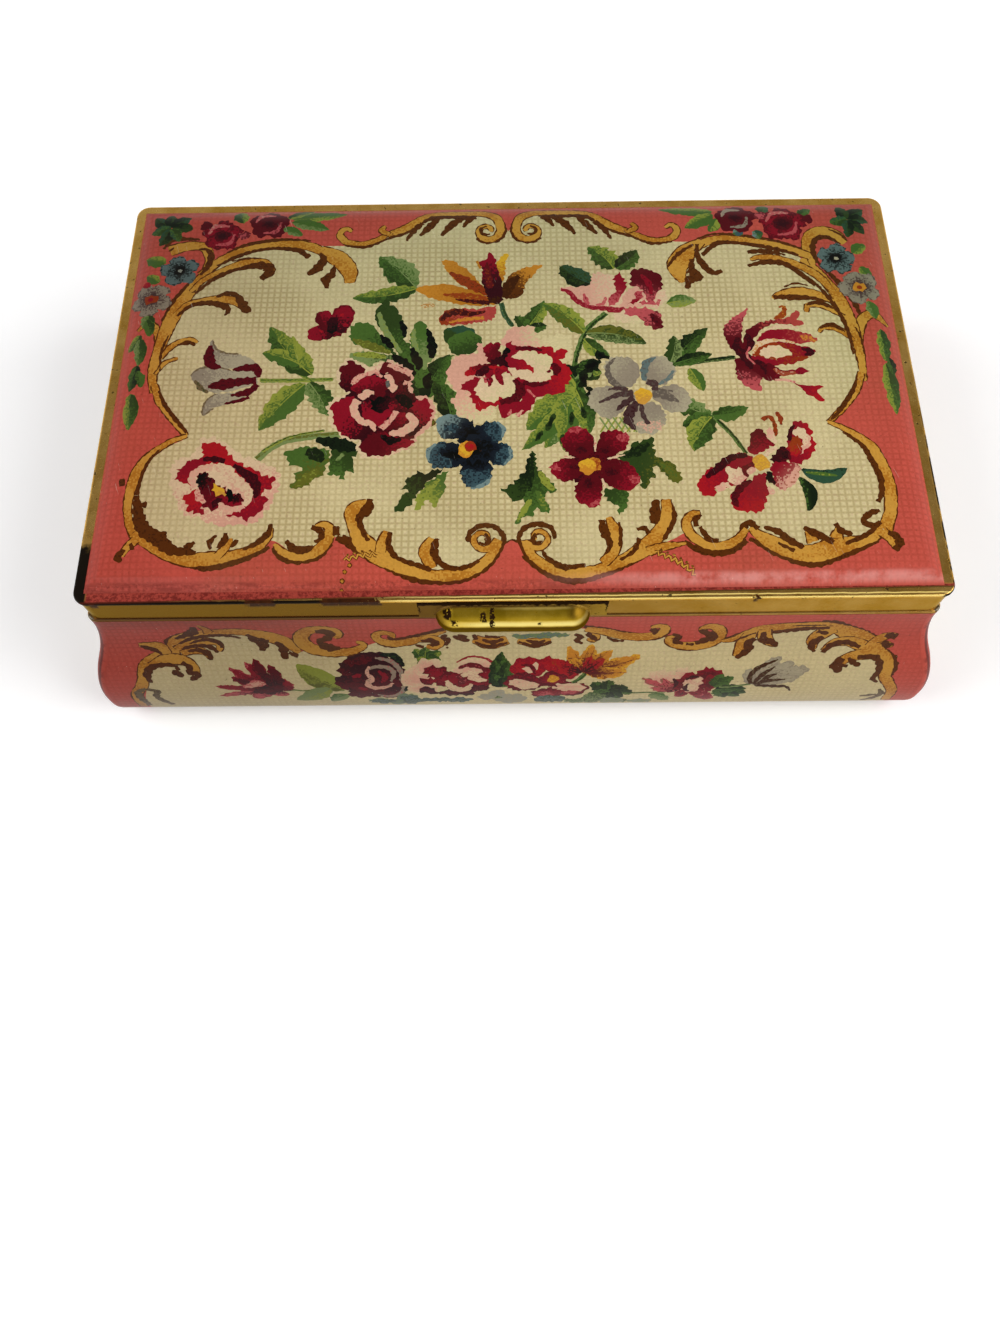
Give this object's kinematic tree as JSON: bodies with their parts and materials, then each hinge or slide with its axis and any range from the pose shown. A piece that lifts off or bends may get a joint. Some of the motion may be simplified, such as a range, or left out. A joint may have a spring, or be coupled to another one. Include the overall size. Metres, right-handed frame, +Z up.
{
  "type": "tin box",
  "caption": "Rectangular hinged tin box with S-curved flaring sides, a cushion-top lid with a rolled gold rim, and a pressed finger pull, for papers and keepsakes.",
  "frame": {"origin": "on the surface the box stands on, under the middle of the box", "axes": "+X along the box's length to the right of the finger pull, +Y towards the hinges at the back, +Z up"},
  "size_m": [0.203, 0.1264, 0.054],
  "materials": {
    "printed_tin_body": "glossy printed lacquer on tinplate, rose pink with cream floral panels, gold lacquer inside",
    "printed_tin_lid": "glossy printed lacquer on tinplate, rose pink cushion with a cream floral panel, gold lacquered rim and inside",
    "gold_tin_pull": "bright gold-lacquered tinplate, chipped dark at the edges",
    "lacquered_tin_bottom": "worn gold-lacquered tinplate",
    "hinge_strip": "gold-lacquered tin strip, dulled",
    "hinge_wire": "bare drawn wire, slightly tarnished"
  },
  "bodies": {
    "box": {"body_wall": "printed_tin_body", "bottom_plate": "lacquered_tin_bottom", "body_hinge_leaf_left": "hinge_strip", "body_hinge_leaf_right": "hinge_strip", "hinge_pin_left": "hinge_wire", "hinge_pin_right": "hinge_wire"},
    "lid": {"lid_shell": "printed_tin_lid", "finger_pull": "gold_tin_pull", "lid_hinge_leaf_left": "hinge_strip", "lid_hinge_leaf_right": "hinge_strip"}
  },
  "joints": [
    {"name": "lid_hinge", "type": "hinge", "parent": "box", "child": "lid", "pos_m": [0, 0.05751, 0.0432], "axis": [-1, 0, 0], "range_deg": [0, 110]}
  ]
}
